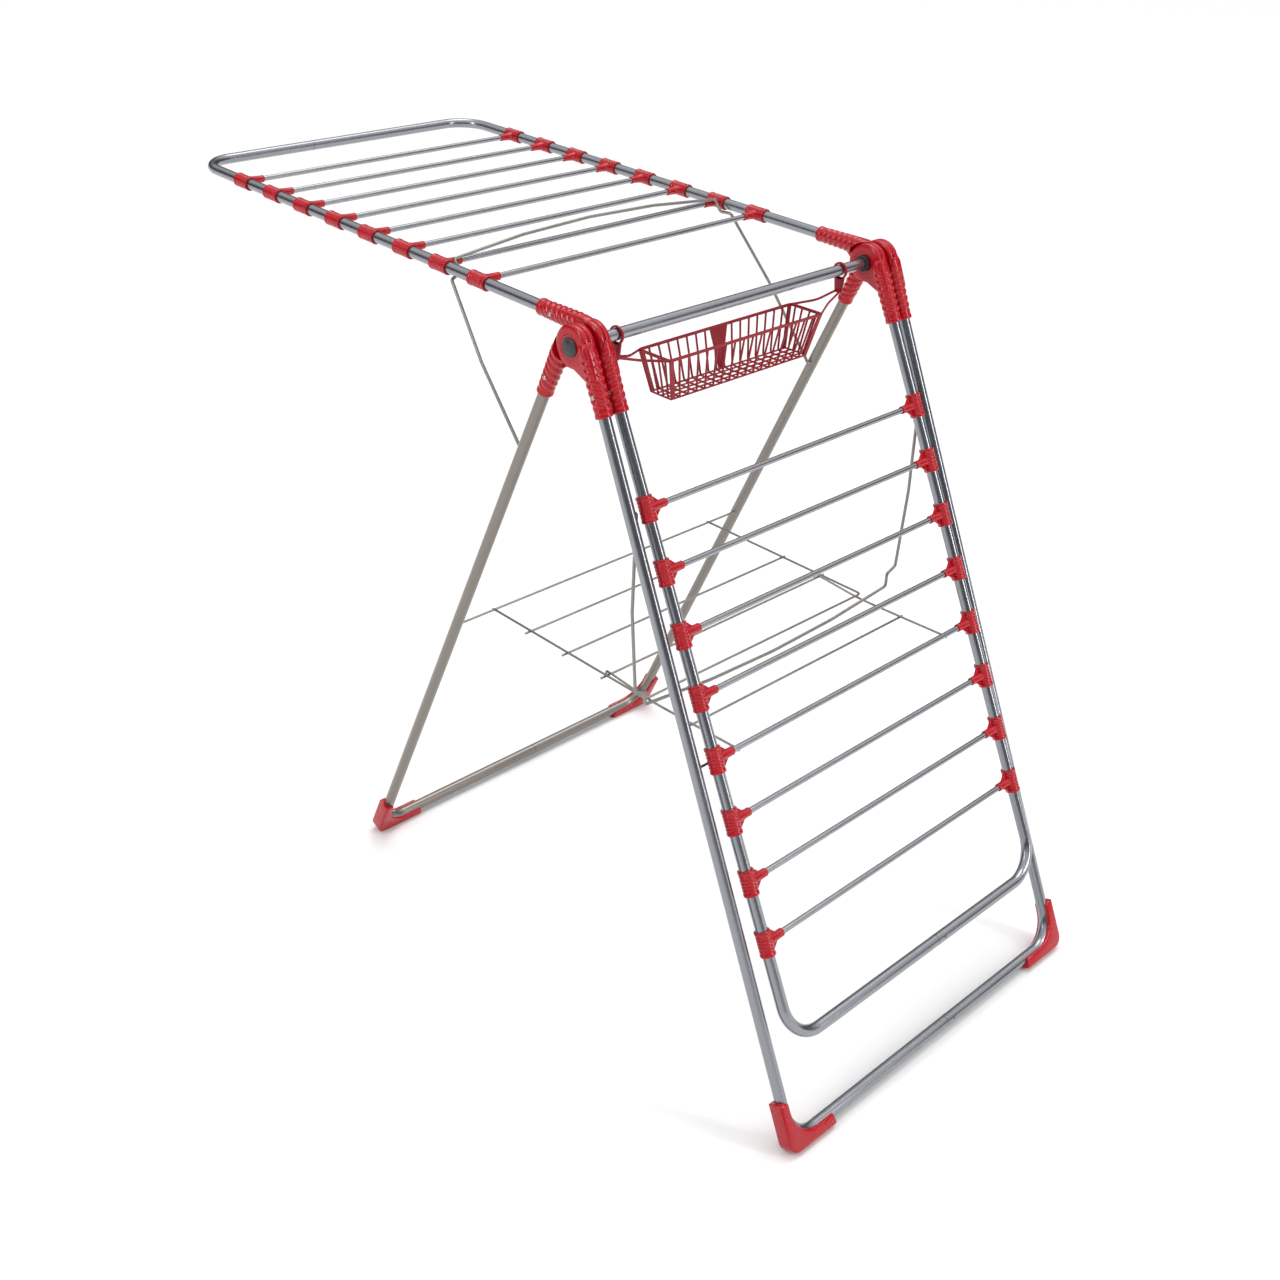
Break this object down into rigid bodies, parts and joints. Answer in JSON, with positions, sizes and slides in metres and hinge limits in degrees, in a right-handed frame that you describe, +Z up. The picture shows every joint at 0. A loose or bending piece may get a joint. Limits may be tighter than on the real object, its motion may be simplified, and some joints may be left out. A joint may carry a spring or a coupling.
{
  "type": "clothes drying rack",
  "caption": "Folding clothes drying rack: bent-tube legs and two wings with slim bars, moulded hinge knuckles and feet, wire stays, a folding wire shelf and a hanging peg basket.",
  "frame": {"origin": "bottom centre of the bounding box, on the floor", "axes": "X along the crossbar, +Y towards the raised wing, +Z up"},
  "size_m": [0.607, 1.3608, 0.9995],
  "materials": {
    "tube_paint": "satin metallic grey",
    "rear_tube_paint": "satin metallic warm grey",
    "bar_paint": "satin silver",
    "red_plastic": "glossy",
    "basket_plastic": "satin",
    "cap_plastic": "matt",
    "bushing_plastic": "matt",
    "rivet_metal": "satin",
    "wire": "zinc plated, satin"
  },
  "bodies": {
    "front_legs": {"front_leg_frame": "tube_paint", "crossbar": "bar_paint", "end_cap_left": "cap_plastic", "end_cap_right": "cap_plastic", "bushing_left": "bushing_plastic", "bushing_right": "bushing_plastic", "front_leg_knuckle_left": "red_plastic", "front_leg_knuckle_right": "red_plastic", "front_leg_rivet_left": "rivet_metal", "front_leg_rivet_right": "rivet_metal", "front_foot_left": "red_plastic", "front_foot_right": "red_plastic"},
    "rear_legs": {"rear_leg_frame": "rear_tube_paint", "rear_leg_knuckle_left": "red_plastic", "rear_leg_knuckle_right": "red_plastic", "rear_leg_rivet_left": "rivet_metal", "rear_leg_rivet_right": "rivet_metal", "rear_foot_left": "red_plastic", "rear_foot_right": "red_plastic"},
    "raised_wing": {"raised_wing_frame": "tube_paint", "raised_wing_knuckle_left": "red_plastic", "raised_wing_knuckle_right": "red_plastic", "raised_wing_bar_1": "bar_paint", "raised_wing_bar_2": "bar_paint", "raised_wing_bar_3": "bar_paint", "raised_wing_bar_4": "bar_paint", "raised_wing_bar_5": "bar_paint", "raised_wing_bar_6": "bar_paint", "raised_wing_bar_7": "bar_paint", "raised_wing_bar_8": "bar_paint"},
    "lower_wing": {"lower_wing_frame": "tube_paint", "lower_wing_knuckle_left": "red_plastic", "lower_wing_knuckle_right": "red_plastic", "lower_wing_bar_1": "bar_paint", "lower_wing_bar_2": "bar_paint", "lower_wing_bar_3": "bar_paint", "lower_wing_bar_4": "bar_paint", "lower_wing_bar_5": "bar_paint", "lower_wing_bar_6": "bar_paint", "lower_wing_bar_7": "bar_paint", "lower_wing_bar_8": "bar_paint"},
    "rear_stay": {"rear_stay": "wire"},
    "front_stay": {"front_stay": "wire"},
    "shelf_rear": {"shelf_rear_half": "wire"},
    "shelf_front": {"shelf_front_half": "wire"},
    "basket": {"peg_basket": "basket_plastic"}
  },
  "joints": [
    {"name": "leg_fold", "type": "hinge", "parent": "front_legs", "child": "rear_legs", "pos_m": [0, -0.22989, 0.95154], "axis": [-1, 0, 0], "range_deg": [0, 47.68]},
    {"name": "raised_wing_fold", "type": "hinge", "parent": "rear_legs", "child": "raised_wing", "pos_m": [0, -0.22989, 0.95154], "axis": [-1, 0, 0], "range_deg": [0, 64]},
    {"name": "lower_wing_lift", "type": "hinge", "parent": "front_legs", "child": "lower_wing", "pos_m": [0, -0.22989, 0.95154], "axis": [-1, 0, 0], "range_deg": [0, 66.23]},
    {"name": "rear_stay_swing", "type": "hinge", "parent": "rear_legs", "child": "rear_stay", "pos_m": [0, -0.12692, 0.76526], "axis": [-1, 0, 0], "range_deg": [0, 119.57]},
    {"name": "front_stay_swing", "type": "hinge", "parent": "front_legs", "child": "front_stay", "pos_m": [0, -0.33287, 0.76526], "axis": [-1, 0, 0], "range_deg": [0, 22.64]},
    {"name": "shelf_rear_fold", "type": "hinge", "parent": "rear_legs", "child": "shelf_rear", "pos_m": [0, 0.00334, 0.46711], "axis": [1, 0, 0], "range_deg": [0, 114.14]},
    {"name": "shelf_front_fold", "type": "hinge", "parent": "front_legs", "child": "shelf_front", "pos_m": [0, -0.46313, 0.46711], "axis": [-1, 0, 0], "range_deg": [0, 114.14]},
    {"name": "basket_swing", "type": "hinge", "parent": "front_legs", "child": "basket", "pos_m": [0, -0.22989, 0.95154], "axis": [1, 0, 0], "range_deg": [-45, 45]}
  ],
  "couplings": [
    {"joint": "rear_stay_swing", "follows": "raised_wing_fold", "ratio": 1.8635},
    {"joint": "front_stay_swing", "follows": "leg_fold", "ratio": 0.46854},
    {"joint": "shelf_rear_fold", "follows": "leg_fold", "ratio": 2.3876},
    {"joint": "shelf_front_fold", "follows": "leg_fold", "ratio": 2.3876}
  ]
}
